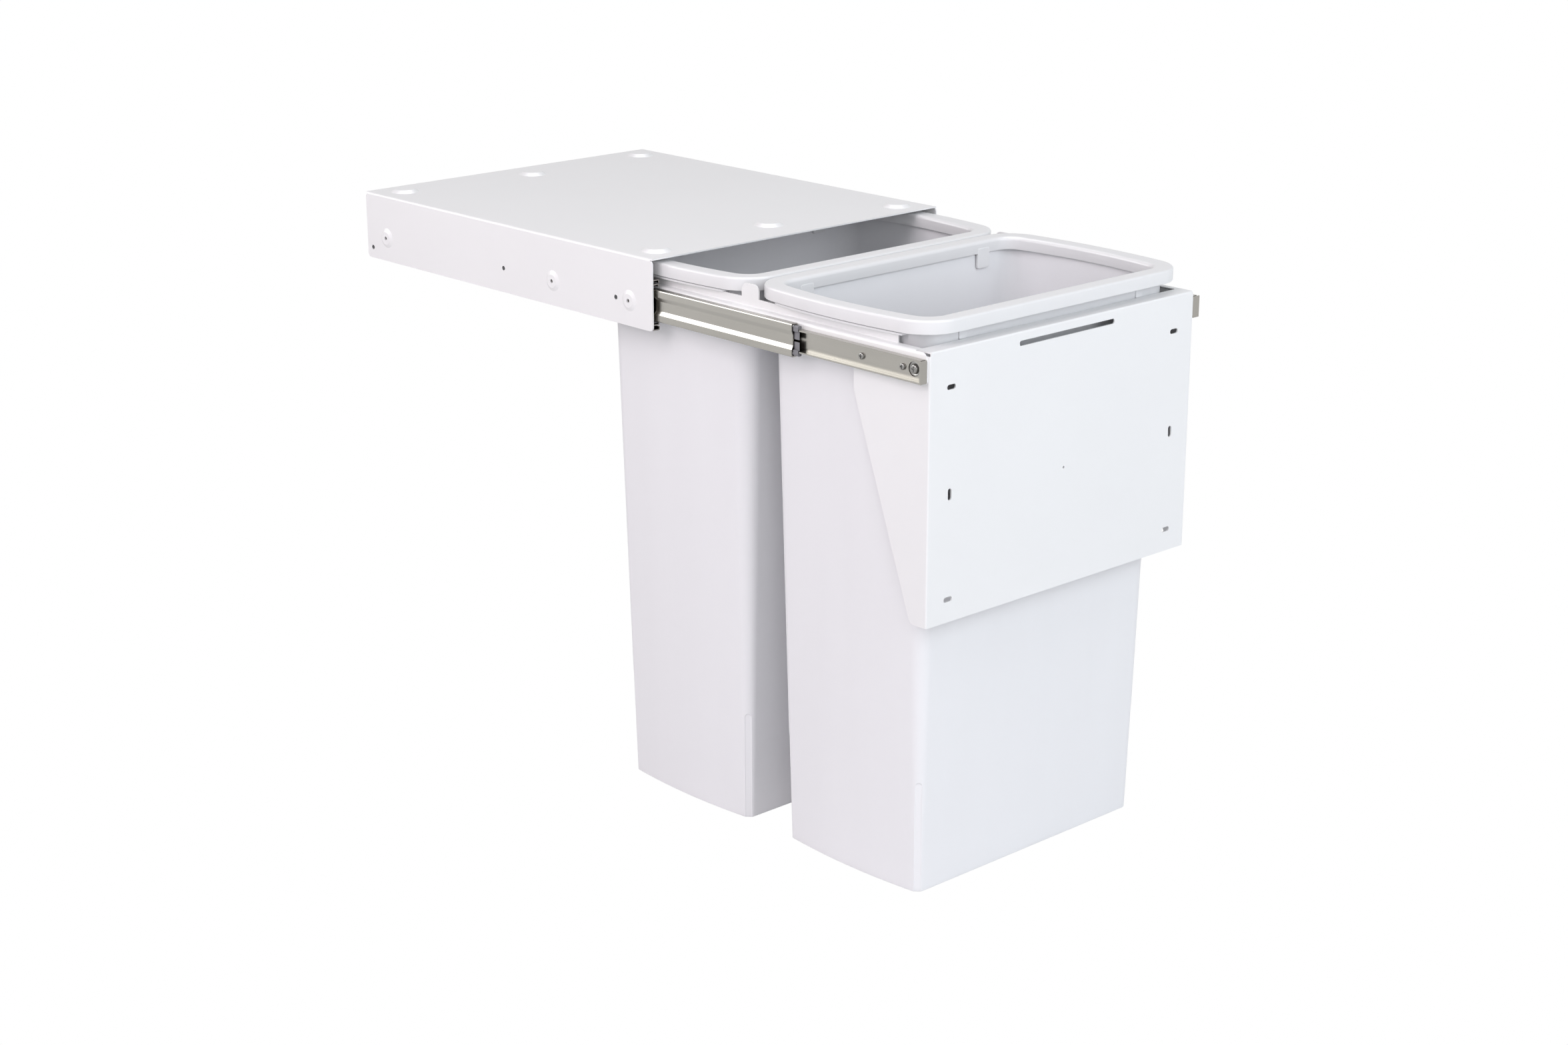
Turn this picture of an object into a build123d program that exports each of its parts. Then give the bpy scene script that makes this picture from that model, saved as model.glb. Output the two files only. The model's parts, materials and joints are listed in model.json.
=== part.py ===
"""Twin pull-out waste bins for a 450 mm base cabinet.

A folded steel housing hangs under the cabinet top.  Ball-bearing runners with four
members a side carry a sheet-steel carriage out of it, and two moulded bins hang in the
carriage by their lips, each with a ring that holds its liner.

Millimetres.  +Z is up, the front faces -Y and +X is to the right.  The origin is the
centre of the housing's top plate, on its outer face.  The unit is drawn part way out:
the third and inner runner members stand at their outer stops, and the second member
still has its whole travel to go.
"""
from build123d import *
import math
import os

os.makedirs("parts", exist_ok=True)

# ---- Driving dimensions ----

# Carriage and front panel
panel_width = 383.0
panel_height = 271.0
panel_sheet = 1.5
panel_bend = 1.8
panel_top_flange = 18.0
gusset_depth = 100.7
gusset_straight = 53.2
gusset_foot = 21.4
gusset_corner = 8.0
gusset_drop = 4.0
panel_relief = 1.8
rail_sheet = 1.5
rail_web_height = 28.5
rail_outer_bend = 3.0
rail_inner_bend = 1.2
ledge_width = 9.9
strip_height = 8.3
strip_setback = 48.6
rail_setback = 2.0
rail_nose_radius = 10.0
separator_width = 25.0
separator_rise = 14.5
separator_corner = 8.0
cross_rail_height = 20.0
rear_rail_height = 30.0
rear_rail_flange = 8.5

# Slots and holes of the front panel
door_slot_spacing_x = 324.0
door_slot_spacing_z = 210.4
door_slot_top = 37.3
door_slot_length = 11.7
door_slot_width = 5.0
pilot_diameter = 2.6
pilot_drop = 148.2
long_slot_length = 137.9
long_slot_width = 5.2
long_slot_corner = 2.2
long_slot_drop = 11.6

# Runners
runner_thickness = 12.6
runner_below_ledge = 17.9
outer_height = 53.2
second_height = 43.4
third_height = 33.5
inner_height = 23.0
member_sheet = 1.2
inner_sheet = 1.5
member_bend = 0.9
web_gap = 0.3
tip_gap = 1.0
lip_step = 0.7
lip_clearance = 1.6
outer_lip = 3.8
second_lip = 3.6
third_lip = 3.9
recess_depth = 1.7
recess_half_height = 5.25
recess_bevel = 4.0
runner_end_gap = 3.5
outer_setback = 2.0
stop_tab_height = 22.0
stop_tab_gap = 0.5
third_travel = 206.5
inner_travel = 172.3
second_travel = 140.0

# Ball cages
small_ball = 3.2
large_ball = 3.5
ball_hole_clearance = 0.3
balls_per_row = 5
ball_pitch = 50.0
cage_end = 10.0
cage_sheet = 0.6
cage_edge_gap = 0.4
cage_nose = 7.5
cage_nose_height = 3.0
cage_nose_side_gap = 0.5
hook_length = 7.0
hook_sheet = 0.5
hook_gap = 2.4
hook_step = 1.85
hook_flange_gap = 0.6
hook_bend = 0.3

# Housing
housing_sheet = 1.5
housing_bend = 1.8
flange_corner = 5.0
flange_clearance = 0.2
rear_clearance = 2.3
top_pad_height = 3.2
top_pad_diameter = 32.0
top_pad_flat = 22.0
side_pad_height = 2.0
side_pad_diameter = 22.4
side_pad_flat = 14.4
fixing_hole = 4.2
access_hole = 9.0
top_pad_edge_x = 32.1
top_pad_front_corner = 30.6
top_pad_front_middle = 50.2
top_pad_rear_corner = 31.6
top_pad_rear_middle = 43.2
side_pad_front = 37.0
side_pad_second = 163.8
side_pad_rear = 38.5
rivet_front = 58.9
rivet_middle = 250.0
rivet_rear = 10.2
rivet_rear_drop = 14.5
rivet_shank = 4.0
rivet_head = 6.4
rivet_hole = 5.0
rivet_clearance = 0.05

# Carriage screws
screw_shank = 4.0
screw_head = 6.7
screw_head_height = 2.2
screws_from_front = (32.0, 86.5)
screws_from_rear = (200.0, 40.0)
front_screw_shank = 5.0
front_screw_head = 9.0
front_screw_head_height = 2.6
front_screw_place = 17.5
front_screw_opening = 14.6
screw_tip = 2.5
screw_clearance = 0.1
drive_recess_depth = 1.2
drive_recess_width = 0.9

# Bins and liner rings
ring_depth = 247.0
ring_gap = 4.8
ring_setback = 5.9
ring_overhang = 2.0
ring_side_bow = 10.3
ring_corner = 40.0
ring_height = 13.5
ring_width = 20.1
ring_skirt = 1.9
ring_top_wall = 2.6
ring_outer_round = 2.4
ring_inner_round = 4.0
ring_headroom = 4.0
ring_seat_gap = 0.3
bin_wall = 2.4
bin_floor = 3.0
bin_height = 591.8
bin_rim_inset_x = 9.5
bin_rim_inset_y = 13.8
bin_rim_bow = 6.5
bin_rim_corner = 24.7
bin_taper_x = 14.5
bin_taper_y = 15.0
bin_foot_bow = 6.0
bin_foot_corner = 9.0
lip_thickness = 2.4
lip_gap = 1.1
lip_inset = 2.6
lip_half_length = 84.0
lug_x = 128.0
lug_width = 18.0
tongue_drop = 16.0
tongue_thickness = 3.0
tongue_reach = 2.6
rib_height = 8.5
rib_reach = 1.2
rib_width = 10.0
groove_width = 6.5
groove_depth = 1.0
groove_height = 116.5

# ---- Places worked out from them ----

# Across the unit, all on the right-hand side
rail_x = panel_width / 2 + rail_sheet
housing_inner_x = rail_x + runner_thickness
housing_width = 2 * (housing_inner_x + housing_sheet)
second_web_x = housing_inner_x - member_sheet - web_gap
third_web_x = second_web_x - member_sheet - web_gap
inner_tip_x = third_web_x - member_sheet - tip_gap
third_lip_x = rail_x + lip_clearance
second_lip_x = third_lip_x + lip_step
outer_lip_x = second_lip_x + lip_step
strip_x = rail_x - ledge_width

# Up and down
ring_top_z = -housing_sheet - ring_headroom
ring_bottom_z = ring_top_z - ring_height
lip_top_z = ring_bottom_z - lip_gap
lip_bottom_z = lip_top_z - lip_thickness
ledge_z = lip_bottom_z - strip_height
runner_z = ledge_z - runner_below_ledge
housing_height = -runner_z + outer_height / 2 + flange_clearance
bin_top_z = ring_top_z - ring_top_wall - ring_seat_gap
bin_bottom_z = bin_top_z - bin_height
separator_top_z = lip_bottom_z + separator_rise

# Front to back
bin_pitch = ring_depth + ring_gap
carriage_depth = ring_setback + bin_pitch + ring_depth
housing_depth = carriage_depth + rear_clearance
housing_front_y = -housing_depth / 2
runner_length = housing_depth - 2 * runner_end_gap
screw_places = screws_from_front + tuple(runner_length - back for back in screws_from_rear)
second_front_y = housing_front_y + runner_end_gap
third_front_y = second_front_y - third_travel
panel_y = third_front_y - runner_end_gap - inner_travel
rail_front_y = panel_y + rail_setback
rail_rear_y = panel_y + runner_length
first_bin_y = panel_y + ring_setback + ring_depth / 2
separator_y = first_bin_y + bin_pitch / 2


# ---- Forms that several pieces share ----

def bent_sheet(points, sheet, bends):
    """The section of a bent sheet: its middle line, rounded at the bends and thickened."""
    middle = FilletPolyline(*points, radius=bends)
    section = make_face(offset(middle, sheet / 2, side=Side.BOTH))
    # Thickening rounds both ends, so what lies beyond them is cut off square.
    for end, before in ((points[0], points[1]), (points[-1], points[-2])):
        onward = (Vector(*end) - Vector(*before)).normalized()
        beyond = Vector(*end) + onward * sheet
        section -= Pos(beyond.X, beyond.Y) * Rectangle(2 * sheet, 2 * sheet)
    return section


def run_back(section, front_y, rear_y):
    """A section drawn as (x, z) and carried straight back from front_y to rear_y."""
    return extrude(Plane.XZ.offset(-front_y) * section, amount=front_y - rear_y)


def block(low, high):
    """A box between two opposite corners."""
    size = [high[i] - low[i] for i in range(3)]
    middle = [(high[i] + low[i]) / 2 for i in range(3)]
    return Pos(*middle) * Box(*size)


def rod_x(diameter, low_x, high_x, y, z):
    """A cylinder that lies across the unit."""
    place = Plane(origin=(low_x, y, z), z_dir=(1, 0, 0))
    return extrude(place * Circle(diameter / 2), amount=high_x - low_x)


def export_node(solid, name):
    """Write one piece, or one group of like pieces, to its own file."""
    export_step(solid, "parts/" + name + ".step")


def export_pair(right_hand, name):
    """Write a right-hand piece and its mirror image on the left."""
    export_node(right_hand, name + "_right")
    export_node(mirror(right_hand, Plane.YZ), name + "_left")


# ---- Housing ----

def pad(place, diameter, flat, height, sheet):
    """An embossed pad: what stands proud of the sheet, and the hollow behind it."""
    proud = loft([place * Circle(diameter / 2), place.offset(height) * Circle(flat / 2)])
    behind = place.offset(-sheet)
    hollow = loft([behind * Circle(diameter / 2), behind.offset(height) * Circle(flat / 2)])
    return proud, hollow


def side_pad_ys():
    """The three fixing pads along a side flange, from the front."""
    return (housing_front_y + side_pad_front, housing_front_y + side_pad_second,
            -housing_front_y - side_pad_rear)


def rivet_places():
    """The rivets that hold an outer member to its flange, as (y, z)."""
    return ((housing_front_y + rivet_front, runner_z), (housing_front_y + rivet_middle, runner_z),
            (-housing_front_y - rivet_rear, runner_z - rivet_rear_drop))


def top_pad_places():
    """Six pads on the top plate: three near the front edge and three near the rear."""
    edge_x = housing_width / 2 - top_pad_edge_x
    front, rear = housing_front_y, -housing_front_y
    corners = [(side * edge_x, y) for side in (-1, 1)
               for y in (front + top_pad_front_corner, rear - top_pad_rear_corner)]
    return corners + [(0, front + top_pad_front_middle), (0, rear - top_pad_rear_middle)]


def make_housing():
    """A sheet folded down at both sides, with pads pressed out of its top and flanges."""
    edge_x = housing_width / 2 - housing_sheet / 2
    points = [(-edge_x, -housing_height), (-edge_x, -housing_sheet / 2),
              (edge_x, -housing_sheet / 2), (edge_x, -housing_height)]
    shell = run_back(bent_sheet(points, housing_sheet, housing_bend),
                     housing_front_y, -housing_front_y)

    # Rounded lower corners, and a rounded relief where each flange leaves the top plate.
    flange_edges = shell.edges().filter_by(Axis.X).filter_by(
        lambda edge: abs(edge.center().Z + housing_height) < 0.01)
    shell = fillet(flange_edges, flange_corner)
    relief_top = -housing_sheet
    for end in (-1, 1):
        corner_y = end * housing_depth / 2
        inner_y = corner_y - end * flange_corner
        low_y, high_y = sorted((corner_y, inner_y))
        for side in (-1, 1):
            low_x, high_x = sorted((side * (housing_inner_x - housing_bend), side * housing_width / 2))
            notch = block((low_x, low_y, relief_top - flange_corner), (high_x, high_y, relief_top))
            notch -= rod_x(2 * flange_corner, low_x, high_x, inner_y, relief_top - flange_corner)
            shell -= notch

    for x, y in top_pad_places():
        proud, hollow = pad(Plane((x, y, 0)), top_pad_diameter, top_pad_flat, top_pad_height,
                            housing_sheet)
        shell = shell + proud - hollow
    for side in (-1, 1):
        for y in side_pad_ys():
            face = Plane(origin=(side * housing_width / 2, y, runner_z), z_dir=(side, 0, 0))
            proud, hollow = pad(face, side_pad_diameter, side_pad_flat, side_pad_height,
                                housing_sheet)
            shell = shell + proud - hollow
            shell -= face * Cylinder(fixing_hole / 2, 6 * side_pad_height)
        for y, z in rivet_places():
            low_x, high_x = sorted((side * (housing_inner_x - 1), side * (housing_width / 2 + 1)))
            shell -= rod_x(rivet_hole, low_x, high_x, y, z)
    return shell


# ---- Runners ----

def channel(web_x, height, lip_x, lip, sheet, bend):
    """A C section: web outboard, flanges turned in, and lips that keep the balls in."""
    web = web_x - sheet / 2
    top = height / 2 - sheet / 2
    edge = lip_x + sheet / 2
    tip = height / 2 - lip
    points = [(edge, tip), (edge, top), (web, top), (web, -top), (edge, -top), (edge, -tip)]
    return Pos(0, runner_z) * bent_sheet(points, sheet, bend)


def third_section():
    """As the other channels, but its web steps in along the middle for the inner member."""
    web = third_web_x - member_sheet / 2
    top = third_height / 2 - member_sheet / 2
    edge = third_lip_x + member_sheet / 2
    tip = third_height / 2 - third_lip
    deep = web - recess_depth
    upper = [(edge, tip), (edge, top), (web, top), (web, recess_half_height + recess_bevel),
             (deep, recess_half_height)]
    lower = [(x, -z) for x, z in reversed(upper)]
    return Pos(0, runner_z) * bent_sheet(upper + lower, member_sheet, member_bend)


def rivet_outline(grow):
    """Half the outline of a flush rivet, as (distance from its axis, distance out from the web)."""
    shank = rivet_shank / 2 + grow
    head = rivet_head / 2 + grow
    length = member_sheet + housing_sheet
    return [(0, 0), (head, 0), (shank, member_sheet), (shank, length), (0, length)]


def rivet(y, z, grow=0.0):
    """A flush rivet from the channel of the outer member out through the flange."""
    inner_face = Plane(origin=(housing_inner_x - member_sheet, y, z), x_dir=(0, 1, 0), z_dir=(0, 0, 1))
    profile = make_face(Polyline(*[(r, -out) for r, out in rivet_outline(grow)], close=True))
    return revolve(inner_face * profile, Axis((0, y, z), (1, 0, 0)))


def make_outer_member():
    """The member that is riveted to the housing."""
    section = channel(housing_inner_x, outer_height, outer_lip_x, outer_lip, member_sheet, member_bend)
    front = housing_front_y + outer_setback
    member = run_back(section, front, front + runner_length)
    for y in side_pad_ys():
        member -= rod_x(access_hole, housing_inner_x - 3 * member_sheet, housing_inner_x + 1, y, runner_z)
    for y, z in rivet_places():
        member -= rivet(y, z, rivet_clearance)
    return member


def make_second_member():
    """The member between the outer one and the third."""
    section = channel(second_web_x, second_height, second_lip_x, second_lip, member_sheet, member_bend)
    return run_back(section, second_front_y, second_front_y + runner_length)


def make_third_member():
    """The member that shows beside the bins when the unit is pulled out."""
    return run_back(third_section(), third_front_y, third_front_y + runner_length)


def make_inner_member():
    """The member screwed to the carriage: an open C with its front end bent out as a stop."""
    web = rail_x + inner_sheet / 2
    top = inner_height / 2 - inner_sheet / 2
    section = bent_sheet([(inner_tip_x, top), (web, top), (web, -top), (inner_tip_x, -top)],
                         inner_sheet, member_bend)
    tab_front = panel_y + runner_end_gap - stop_tab_gap - inner_sheet
    flange_front = panel_y + runner_end_gap
    member = run_back(Pos(0, runner_z) * section, flange_front, panel_y + runner_length)
    half_tab = stop_tab_height / 2
    tab = block((rail_x, tab_front, runner_z - half_tab),
                (third_web_x, tab_front + inner_sheet, runner_z + half_tab))
    tab += block((rail_x, tab_front, runner_z - half_tab),
                 (rail_x + inner_sheet, flange_front + 1, runner_z + half_tab))
    bend_edge = tab.edges().filter_by(Axis.Z).filter_by(
        lambda edge: abs(edge.center().X - rail_x) < 0.01 and abs(edge.center().Y - tab_front) < 0.01)
    member += fillet(bend_edge, inner_sheet)
    far = rail_x + 4 * inner_sheet
    for place in screw_places:
        member -= rod_x(screw_shank + 2 * screw_clearance, rail_x - 1, far, panel_y + place, runner_z)
    member -= rod_x(front_screw_opening, rail_x - 1, far, panel_y + front_screw_place, runner_z)
    return member


# ---- Ball cages ----

def ball_rows(front_y, x, spread):
    """The centres of a cage's balls: one row above the runner's centre line, one below."""
    first = front_y + cage_end
    return [(x, first + ball_pitch * i, runner_z + side * spread)
            for side in (-1, 1) for i in range(balls_per_row)]


def make_cage(front_y, outer, inner, ball):
    """Two strips with a hole for each ball, and the balls in them.

    outer and inner are the members on either side, as (web_x, height, lip_x) and height.
    """
    web_x, height, lip_x = outer
    low_x = lip_x + member_sheet + cage_edge_gap
    high_x = web_x - member_sheet - cage_edge_gap
    spread = (height / 2 - member_sheet + inner / 2) / 2
    rear_y = front_y + 2 * cage_end + ball_pitch * (balls_per_row - 1)
    strips = [block((low_x, front_y, runner_z + side * spread - cage_sheet / 2),
                    (high_x, rear_y, runner_z + side * spread + cage_sheet / 2)) for side in (-1, 1)]
    centres = ball_rows(front_y, (low_x + high_x) / 2, spread)
    holes = [Pos(*centre) * Cylinder((ball + ball_hole_clearance) / 2, 4 * cage_sheet)
             for centre in centres]
    balls = [Pos(*centre) * Sphere(ball / 2) for centre in centres]
    strips = [strip - holes for strip in strips]
    return strips, balls, spread


def cage_front(side, spread):
    """The front end of the inner cage: a nose, and a finger that reaches round the inner member."""
    outside = inner_tip_x + tip_gap / 2
    inside = outside - hook_step
    step = inner_height / 2 - inner_sheet - hook_flange_gap
    points = [(outside, side * spread), (outside, side * step), (inside, side * step),
              (inside, side * hook_gap / 2)]
    finger = bent_sheet(points, hook_sheet, hook_bend)
    low_x = third_lip_x + member_sheet + cage_nose_side_gap
    high_x = third_web_x - member_sheet - cage_nose_side_gap
    nose = Pos((low_x + high_x) / 2, side * spread) * RectangleRounded(
        high_x - low_x, cage_nose_height, cage_nose_height * 0.4)
    front_y = third_front_y - cage_nose
    return [run_back(Pos(0, runner_z) * part, front_y, front_y + hook_length)
            for part in (finger, nose)]


def export_cages():
    """The three cages of each runner.  A cage reaches its channel's front end at full travel."""
    outer = (housing_inner_x, outer_height, outer_lip_x)
    second = (second_web_x, second_height, second_lip_x)
    third = (third_web_x, third_height, third_lip_x)
    strips, balls, _ = make_cage(second_front_y + second_travel / 2, outer, second_height, small_ball)
    export_pair(Compound(strips), "cage_outer")
    export_pair(Compound(balls), "balls_outer")
    strips, balls, _ = make_cage(second_front_y, second, third_height, small_ball)
    export_pair(Compound(strips), "cage_middle")
    export_pair(Compound(balls), "balls_middle")
    strips, balls, spread = make_cage(third_front_y - cage_nose, third, inner_height, large_ball)
    strips = [strip + cage_front(side, spread) for strip, side in zip(strips, (-1, 1))]
    export_pair(Compound(strips), "cage_inner")
    export_pair(Compound(balls), "balls_inner")


# ---- Screws ----

def make_screw(shank, head, head_height, seat_x, tip_x, y):
    """A pan-head screw driven inwards from seat_x, with a cross recess in its head."""
    body = rod_x(shank, tip_x, seat_x, y, runner_z)
    top = rod_x(head, seat_x, seat_x + head_height, y, runner_z)
    top = fillet(top.edges().sort_by(Axis.X)[-1], head_height * 0.6)
    reach = head * 0.3
    width = drive_recess_width / 2
    floor_x = seat_x + head_height - drive_recess_depth
    for half_y, half_z in ((reach, width), (width, reach)):
        top -= block((floor_x, y - half_y, runner_z - half_z),
                     (seat_x + head_height + 1, y + half_y, runner_z + half_z))
    return body + top


def make_carriage_screws():
    """The screws that hold an inner member, its side rail and the gusset together."""
    tip_x = panel_width / 2 - panel_sheet - screw_tip
    screws = [make_screw(screw_shank, screw_head, screw_head_height, rail_x + inner_sheet, tip_x,
                         panel_y + place) for place in screw_places]
    screws.append(make_screw(front_screw_shank, front_screw_head, front_screw_head_height, rail_x,
                             tip_x, panel_y + front_screw_place))
    return Compound(screws)


# ---- Carriage ----

def drill_for_screws(piece, low_x, high_x, last_y):
    """Clearance holes for the carriage screws that lie in front of last_y."""
    for place in screw_places:
        if panel_y + place < last_y:
            piece -= rod_x(screw_shank + 2 * screw_clearance, low_x, high_x, panel_y + place, runner_z)
    hole = front_screw_shank + 2 * screw_clearance
    return piece - rod_x(hole, low_x, high_x, panel_y + front_screw_place, runner_z)


def make_side_rail():
    """A web beside the runner, a ledge on top of it, and a strip that the bins' lips rest on."""
    web = rail_x - rail_sheet / 2
    ledge = ledge_z - rail_sheet / 2
    strip = strip_x + rail_sheet / 2
    points = [(web, ledge_z - rail_web_height), (web, ledge), (strip, ledge), (strip, lip_bottom_z)]
    rail = run_back(bent_sheet(points, rail_sheet, [rail_outer_bend, rail_inner_bend]),
                    rail_front_y, rail_rear_y)

    # The ledge stops behind the panel's top flange, and the strip a little further back.
    inside_x = rail_x - rail_sheet
    under = ledge_z - rail_outer_bend - rail_sheet
    rail -= block((strip_x - 1, rail_front_y - 1, under),
                  (inside_x, panel_y + panel_top_flange + 0.5, lip_bottom_z + 1))
    rail -= block((strip_x - 1, rail_front_y - 1, ledge_z),
                  (inside_x, panel_y + strip_setback, lip_bottom_z + 1))
    nose = block((inside_x - 1, rail_front_y, ledge_z - rail_nose_radius),
                 (rail_x + 1, rail_front_y + rail_nose_radius, ledge_z + 1))
    nose -= rod_x(2 * rail_nose_radius, inside_x - 1, rail_x + 1, rail_front_y + rail_nose_radius,
                  ledge_z - rail_nose_radius)
    rail -= nose

    # The tab that stands up between the two rings.
    half = separator_width / 2
    tab = block((strip_x, separator_y - half, lip_bottom_z - rail_sheet),
                (strip_x + rail_sheet, separator_y + half, separator_top_z))
    top_corners = tab.edges().filter_by(Axis.X).group_by(Axis.Z)[-1]
    rail += fillet(top_corners, separator_corner)
    return drill_for_screws(rail, rail_x - 2 * rail_sheet, rail_x + 1, rail_rear_y)


def make_front_panel():
    """The plate that carries the cabinet's door: a top flange and two gussets folded back from it."""
    half = panel_width / 2
    bottom_z = ledge_z - panel_height
    gusset_top = ledge_z - gusset_drop
    plate = block((-half, panel_y, bottom_z), (half, panel_y + panel_sheet, gusset_top))
    side_outline = make_face(Polyline(
        (panel_y, gusset_top), (panel_y + gusset_depth, gusset_top),
        (panel_y + gusset_depth, ledge_z - gusset_straight), (panel_y + gusset_foot, bottom_z),
        (panel_y, bottom_z), close=True))
    rounded = [corner for corner in side_outline.vertices() if corner.X > panel_y + 1]
    side_outline = fillet(rounded, gusset_corner)
    for side in (-1, 1):
        face = Plane(origin=(side * half, 0, 0), x_dir=(0, 1, 0), z_dir=(1, 0, 0))
        plate += extrude(face * side_outline, amount=-side * panel_sheet)
    folds = [edge for edge in plate.edges().filter_by(Axis.Z)
             if abs(edge.center().Y - panel_y) < 0.01]
    plate = fillet(folds, panel_bend)

    # The top strip folds back too, and is relieved where it meets the gussets.
    top_half = half - panel_relief
    top = block((-top_half, panel_y, gusset_top), (top_half, panel_y + panel_sheet, ledge_z))
    top += block((-top_half, panel_y, ledge_z - panel_sheet),
                 (top_half, panel_y + panel_top_flange, ledge_z))
    fold = [edge for edge in top.edges().filter_by(Axis.X)
            if abs(edge.center().Y - panel_y) < 0.01 and abs(edge.center().Z - ledge_z) < 0.01]
    plate += fillet(fold, panel_bend)

    # Slots for the door's brackets, a pilot hole, and the long slot under the top flange.
    plate_plane = Plane(origin=(0, panel_y, ledge_z), x_dir=(1, 0, 0), z_dir=(0, -1, 0))
    slot = SlotOverall(door_slot_length, door_slot_width)
    cuts = []
    for side in (-1, 1):
        x = side * door_slot_spacing_x / 2
        cuts.append(Pos(x, -door_slot_top) * slot)
        cuts.append(Pos(x, -door_slot_top - door_slot_spacing_z / 2) * Rot(0, 0, 90) * slot)
        cuts.append(Pos(x, -door_slot_top - door_slot_spacing_z) * slot)
    cuts.append(Pos(0, -pilot_drop) * Circle(pilot_diameter / 2))
    cuts.append(Pos(0, -long_slot_drop) * RectangleRounded(long_slot_length, long_slot_width,
                                                           long_slot_corner))
    for cut in cuts:
        plate -= extrude(plate_plane * cut, amount=-2 * panel_sheet)
    for side in (-1, 1):
        low_x, high_x = sorted((side * (half - 2 * panel_sheet), side * (half + 1)))
        plate = drill_for_screws(plate, low_x, high_x, panel_y + gusset_depth)
    return plate


def make_middle_cross_rail():
    """A channel between the side rails, under the gap between the bins."""
    half = separator_width / 2
    top = ledge_z - rail_sheet
    points = [(-half + rail_sheet / 2, top - cross_rail_height), (-half + rail_sheet / 2, top - rail_sheet / 2),
              (half - rail_sheet / 2, top - rail_sheet / 2), (half - rail_sheet / 2, top - cross_rail_height)]
    section = bent_sheet(points, rail_sheet, rail_inner_bend)
    start = Plane(origin=(-panel_width / 2, separator_y, 0), x_dir=(0, 1, 0), z_dir=(1, 0, 0))
    bar = extrude(start * section, amount=panel_width)
    return bar - corner_reliefs(separator_y - half - 1, separator_y + half + 1)


def corner_reliefs(front_y, rear_y):
    """What is cut off the top corners of a cross rail, to clear the bend of each side rail."""
    reach = rail_outer_bend
    top = ledge_z - rail_sheet
    return [block((side * panel_width / 2 - reach, front_y, top - reach),
                  (side * panel_width / 2 + reach, rear_y, top + 1)) for side in (-1, 1)]


def make_rear_cross_rail():
    """An angle across the rear ends of the side rails."""
    top = ledge_z - rail_sheet
    rear = rail_rear_y - rail_sheet / 2
    points = [(rear - rear_rail_flange, top - rail_sheet / 2), (rear, top - rail_sheet / 2),
              (rear, top - rear_rail_height)]
    section = bent_sheet(points, rail_sheet, rail_inner_bend)
    start = Plane(origin=(-panel_width / 2, 0, 0), x_dir=(0, 1, 0), z_dir=(1, 0, 0))
    bar = extrude(start * section, amount=panel_width)
    return bar - corner_reliefs(rail_rear_y - 3 * rear_rail_flange, rail_rear_y + 1)


# ---- Bins and liner rings ----

def bowed_outline(z, half_end, bow, depth, corner):
    """A rectangle in plan with rounded corners, whose two short sides bow outwards."""
    half = depth / 2
    sides = [Line((-half_end, -half), (half_end, -half)),
             ThreePointArc((half_end, -half), (half_end + bow, 0), (half_end, half)),
             Line((half_end, half), (-half_end, half)),
             ThreePointArc((-half_end, half), (-half_end - bow, 0), (-half_end, -half))]
    face = make_face(sides)
    return Pos(0, 0, z) * fillet(face.vertices(), corner)


def ring_outline(z, inset):
    """The outline of a liner ring, drawn in by inset all round."""
    half_end = rail_x + ring_overhang - ring_side_bow - inset
    return bowed_outline(z, half_end, ring_side_bow, ring_depth - 2 * inset, ring_corner - inset)


def bin_size(taper_x, taper_y):
    """Half a bin's length at its corners, and half its depth, drawn in from its rim."""
    half_end = rail_x + ring_overhang - ring_side_bow - bin_rim_inset_x - taper_x
    return half_end, ring_depth / 2 - bin_rim_inset_y - taper_y


def rim_outline(z, inset):
    """The outline of a bin at its rim, drawn in by inset all round."""
    half_end, half_depth = bin_size(inset, inset)
    return bowed_outline(z, half_end, bin_rim_bow, 2 * half_depth, bin_rim_corner - inset)


def foot_outline(z, inset):
    """The outline of a bin at its foot, drawn in by inset all round."""
    half_end, half_depth = bin_size(bin_taper_x + inset, bin_taper_y + inset)
    return bowed_outline(z, half_end, bin_foot_bow, 2 * half_depth, bin_foot_corner - inset)


def corner_groove(side, end):
    """An upright groove in a bin's corner, from its foot: what is cut away."""
    places = []
    for size, radius, z in ((bin_size(bin_taper_x, bin_taper_y), bin_foot_corner, bin_bottom_z),
                            (bin_size(0, 0), bin_rim_corner, bin_top_z)):
        back = radius * (1 - math.sqrt(0.5))
        places.append(Vector(side * (size[0] - back), end * (size[1] - back), z))
    along = (places[1] - places[0]).normalized()
    outward = Vector(side, end, 0).normalized()
    outward = (outward - along * outward.dot(along)).normalized()
    floor = Plane(origin=places[0] - outward * groove_depth, x_dir=along.cross(outward), z_dir=outward)
    shape = Rectangle(groove_width, 2 * groove_height)
    shape += Pos(0, groove_height) * Circle(groove_width / 2)
    return extrude(floor * shape, amount=4 * groove_depth)


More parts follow.
